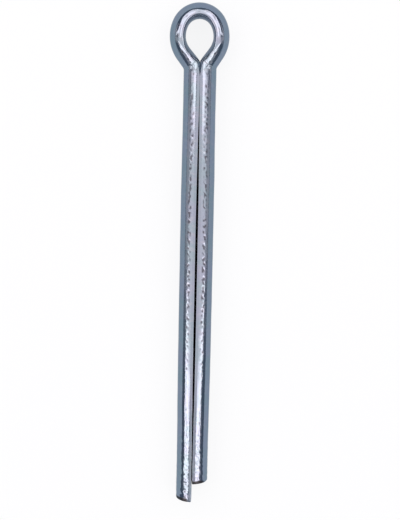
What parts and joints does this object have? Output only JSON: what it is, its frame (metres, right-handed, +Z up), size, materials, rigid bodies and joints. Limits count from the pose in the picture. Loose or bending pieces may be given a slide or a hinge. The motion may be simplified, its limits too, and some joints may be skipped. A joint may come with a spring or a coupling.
{
  "type": "cotter pin",
  "caption": "Split pin of half-round wire folded double, with an open eye and prongs of unequal length that are spread behind a cross-hole to lock a nut, shaft or clevis pin.",
  "frame": {"origin": "on the pin's axis, where the neck of the eye ends and the straight shank begins", "axes": "+Y along the pin's axis towards the eye, +X towards the short prong, +Z up and square to the plane of the eye, as the pin lies on its side"},
  "size_m": [0.0081, 0.0705, 0.0044],
  "materials": {
    "plated_wire": "bright zinc plate on drawn steel wire, slightly blue, with fine drawing and forming marks"
  },
  "bodies": {
    "root": {"cotter_pin": "plated_wire"}
  },
  "joints": []
}
